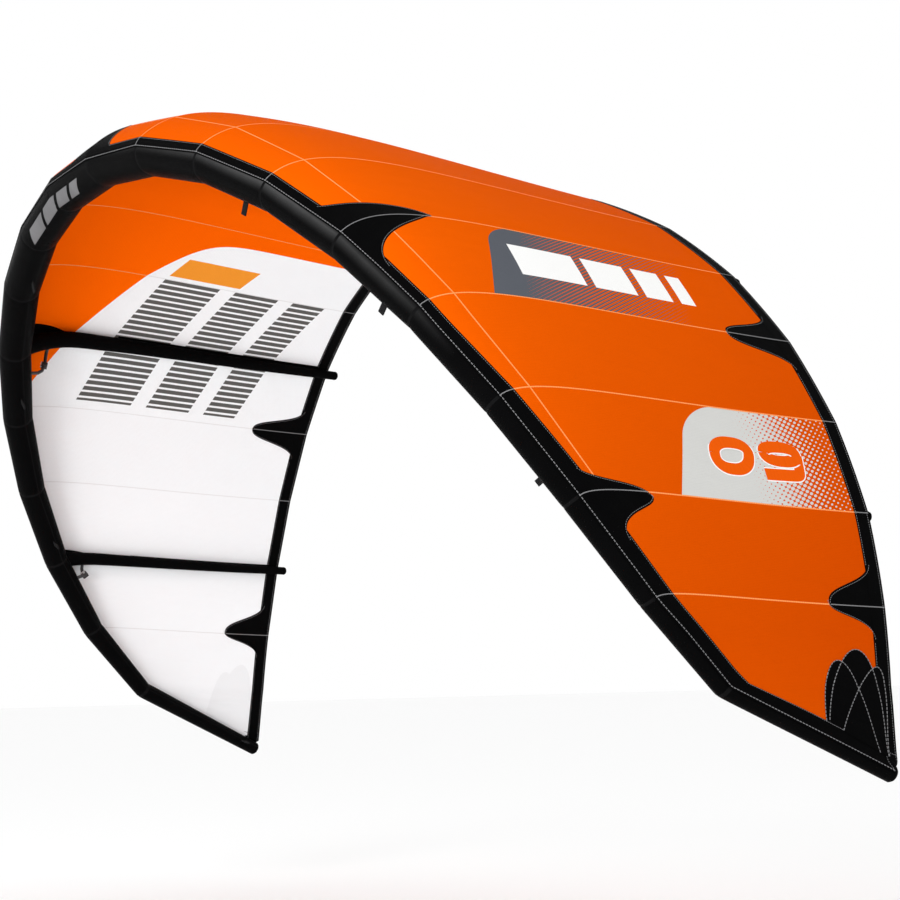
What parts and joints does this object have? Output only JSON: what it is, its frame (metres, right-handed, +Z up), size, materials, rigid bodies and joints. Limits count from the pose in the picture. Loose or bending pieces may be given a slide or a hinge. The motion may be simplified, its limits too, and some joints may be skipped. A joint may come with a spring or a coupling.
{
  "type": "kitesurf kite",
  "caption": "Inflatable arched kitesurf kite: black leading edge tube and struts carrying an orange and white canopy, with flexing wingtips, valves, hose clips and line tabs.",
  "frame": {"origin": "centre of the leading edge tube at the middle of the kite, named by mount leading_edge_middle", "axes": "+X to the right wingtip along the span, +Y from the leading edge to the trailing edge, +Z up, away from the lines"},
  "size_m": [4.2196, 1.8362, 2.3508],
  "materials": {
    "leading_edge_cloth": "woven polyester, coated, low sheen",
    "strut_cloth": "woven polyester, coated, low sheen",
    "bladder_film": "thin polyurethane film",
    "canopy_white": "ripstop polyester, slightly glossy",
    "canopy_orange": "ripstop polyester, slightly glossy",
    "trailing_band_cloth": "folded woven polyester, stitched",
    "valve_plastic": "moulded thermoplastic",
    "cap_plastic": "moulded thermoplastic",
    "hose_rubber": "soft hose",
    "clip_plastic": "moulded acetal",
    "webbing": "flat woven webbing, sewn"
  },
  "bodies": {
    "kite": {"leading_tube_valve_run": "leading_edge_cloth", "leading_bladder_centre": "bladder_film", "inflate_valve": "valve_plastic", "dump_valve": "valve_plastic", "leading_tube_right_1": "leading_edge_cloth", "leading_tube_right_2": "leading_edge_cloth", "leading_tube_right_3": "leading_edge_cloth", "canopy_right_1": "canopy_orange", "canopy_right_2": "canopy_orange", "canopy_right_3": "canopy_orange", "trailing_band_right_main": "trailing_band_cloth", "leading_tube_left_1": "leading_edge_cloth", "leading_tube_left_2": "leading_edge_cloth", "leading_tube_left_3": "leading_edge_cloth", "canopy_left_1": "canopy_orange", "canopy_left_2": "canopy_orange", "canopy_left_3": "canopy_white", "trailing_band_left_main": "trailing_band_cloth", "strut_tube_centre": "strut_cloth", "strut_bladder_centre": "bladder_film", "air_hose_centre": "hose_rubber", "strut_tube_right_inner": "strut_cloth", "strut_bladder_right_inner": "bladder_film", "air_hose_right_inner": "hose_rubber", "strut_tube_left_inner": "strut_cloth", "strut_bladder_left_inner": "bladder_film", "air_hose_left_inner": "hose_rubber"},
    "wingtip_right": {"leading_tube_right_4": "leading_edge_cloth", "leading_tube_right_5": "leading_edge_cloth", "leading_bladder_right": "bladder_film", "canopy_right_4": "canopy_orange", "canopy_right_5": "canopy_orange", "trailing_band_right_tip": "trailing_band_cloth", "strut_tube_right_outer": "strut_cloth", "strut_bladder_right_outer": "bladder_film", "air_hose_right_outer": "hose_rubber"},
    "wingtip_left": {"leading_tube_left_4": "leading_edge_cloth", "leading_tube_left_5": "leading_edge_cloth", "leading_bladder_left": "bladder_film", "canopy_left_4": "canopy_white", "canopy_left_5": "canopy_white", "trailing_band_left_tip": "trailing_band_cloth", "strut_tube_left_outer": "strut_cloth", "strut_bladder_left_outer": "bladder_film", "air_hose_left_outer": "hose_rubber"},
    "inflate_cap": {"inflate_cap": "cap_plastic"},
    "dump_cap": {"dump_cap": "cap_plastic"},
    "hose_clip_centre": {"hose_clip_centre": "clip_plastic"},
    "hose_clip_right_inner": {"hose_clip_right_inner": "clip_plastic"},
    "hose_clip_left_inner": {"hose_clip_left_inner": "clip_plastic"},
    "hose_clip_right_outer": {"hose_clip_right_outer": "clip_plastic"},
    "hose_clip_left_outer": {"hose_clip_left_outer": "clip_plastic"},
    "line_tab_right_1": {"line_tab_right_1": "webbing"},
    "line_tab_right_2": {"line_tab_right_2": "webbing"},
    "line_tab_right_3": {"line_tab_right_3": "webbing"},
    "line_tab_left_1": {"line_tab_left_1": "webbing"},
    "line_tab_left_2": {"line_tab_left_2": "webbing"},
    "line_tab_left_3": {"line_tab_left_3": "webbing"},
    "tip_tab_right": {"tip_tab_right": "webbing"},
    "tip_tab_left": {"tip_tab_left": "webbing"}
  },
  "joints": [
    {"name": "wingtip_right_flex", "type": "hinge", "parent": "kite", "child": "wingtip_right", "pos_m": [1.7857, 0.45672, -0.99211], "axis": [0.0389, 0.9991, -0.0139], "range_deg": [-6, 6], "stiffness_Nm_per_rad": 60},
    {"name": "wingtip_left_flex", "type": "hinge", "parent": "kite", "child": "wingtip_left", "pos_m": [-1.7857, 0.45672, -0.99211], "axis": [0.0389, -0.9991, 0.0139], "range_deg": [-6, 6], "stiffness_Nm_per_rad": 60},
    {"name": "inflate_cap_hinge", "type": "hinge", "parent": "kite", "child": "inflate_cap", "pos_m": [0.18169, 0.10094, -0.031], "axis": [-1, 0, 0], "range_deg": [0, 150]},
    {"name": "dump_cap_hinge", "type": "hinge", "parent": "kite", "child": "dump_cap", "pos_m": [0.30888, 0.10465, -0.04712], "axis": [-1, 0, 0], "range_deg": [0, 150]},
    {"name": "hose_clip_centre_hinge", "type": "hinge", "parent": "kite", "child": "hose_clip_centre", "pos_m": [0.10324, 0.13454, 0.01333], "axis": [0.9292, 0.3697, 0], "range_deg": [0, 100]},
    {"name": "hose_clip_right_inner_hinge", "type": "hinge", "parent": "kite", "child": "hose_clip_right_inner", "pos_m": [1.39074, 0.34108, -0.53151], "axis": [0.7576, 0.1326, -0.6392], "range_deg": [0, 100]},
    {"name": "hose_clip_left_inner_hinge", "type": "hinge", "parent": "kite", "child": "hose_clip_left_inner", "pos_m": [-1.39074, 0.34108, -0.53151], "axis": [0.7576, -0.1326, 0.6392], "range_deg": [0, 100]},
    {"name": "hose_clip_right_outer_hinge", "type": "hinge", "parent": "wingtip_right", "child": "hose_clip_right_outer", "pos_m": [1.90236, 0.75335, -1.34591], "axis": [0.1782, -0.7869, -0.5908], "range_deg": [0, 100]},
    {"name": "hose_clip_left_outer_hinge", "type": "hinge", "parent": "wingtip_left", "child": "hose_clip_left_outer", "pos_m": [-1.90236, 0.75335, -1.34591], "axis": [0.1782, 0.7869, 0.5908], "range_deg": [0, 100]},
    {"name": "line_tab_right_1_swing", "type": "hinge", "parent": "kite", "child": "line_tab_right_1", "pos_m": [0.87674, 0.09012, -0.2837], "axis": [0.8842, 0.1821, -0.4301], "range_deg": [-40, 40], "stiffness_Nm_per_rad": 0.02},
    {"name": "line_tab_right_2_swing", "type": "hinge", "parent": "kite", "child": "line_tab_right_2", "pos_m": [1.42893, 0.27282, -0.6737], "axis": [0.659, 0.3226, -0.6795], "range_deg": [-40, 40], "stiffness_Nm_per_rad": 0.02},
    {"name": "line_tab_right_3_swing", "type": "hinge", "parent": "wingtip_right", "child": "line_tab_right_3", "pos_m": [1.81277, 0.57776, -1.22785], "axis": [0.3442, 0.4901, -0.8008], "range_deg": [-40, 40], "stiffness_Nm_per_rad": 0.02},
    {"name": "line_tab_left_1_swing", "type": "hinge", "parent": "kite", "child": "line_tab_left_1", "pos_m": [-0.87674, 0.09012, -0.2837], "axis": [-0.8842, 0.1821, -0.4301], "range_deg": [-40, 40], "stiffness_Nm_per_rad": 0.02},
    {"name": "line_tab_left_2_swing", "type": "hinge", "parent": "kite", "child": "line_tab_left_2", "pos_m": [-1.42893, 0.27282, -0.6737], "axis": [-0.659, 0.3226, -0.6795], "range_deg": [-40, 40], "stiffness_Nm_per_rad": 0.02},
    {"name": "line_tab_left_3_swing", "type": "hinge", "parent": "wingtip_left", "child": "line_tab_left_3", "pos_m": [-1.81277, 0.57776, -1.22785], "axis": [-0.3442, 0.4901, -0.8008], "range_deg": [-40, 40], "stiffness_Nm_per_rad": 0.02},
    {"name": "tip_tab_right_swing", "type": "hinge", "parent": "wingtip_right", "child": "tip_tab_right", "pos_m": [2.03766, 1.5893, -2.09651], "axis": [0.1103, 0.8865, -0.4494], "range_deg": [-40, 40], "stiffness_Nm_per_rad": 0.02},
    {"name": "tip_tab_left_swing", "type": "hinge", "parent": "wingtip_left", "child": "tip_tab_left", "pos_m": [-2.03766, 1.5893, -2.09651], "axis": [-0.1103, 0.8865, -0.4494], "range_deg": [-40, 40], "stiffness_Nm_per_rad": 0.02}
  ]
}
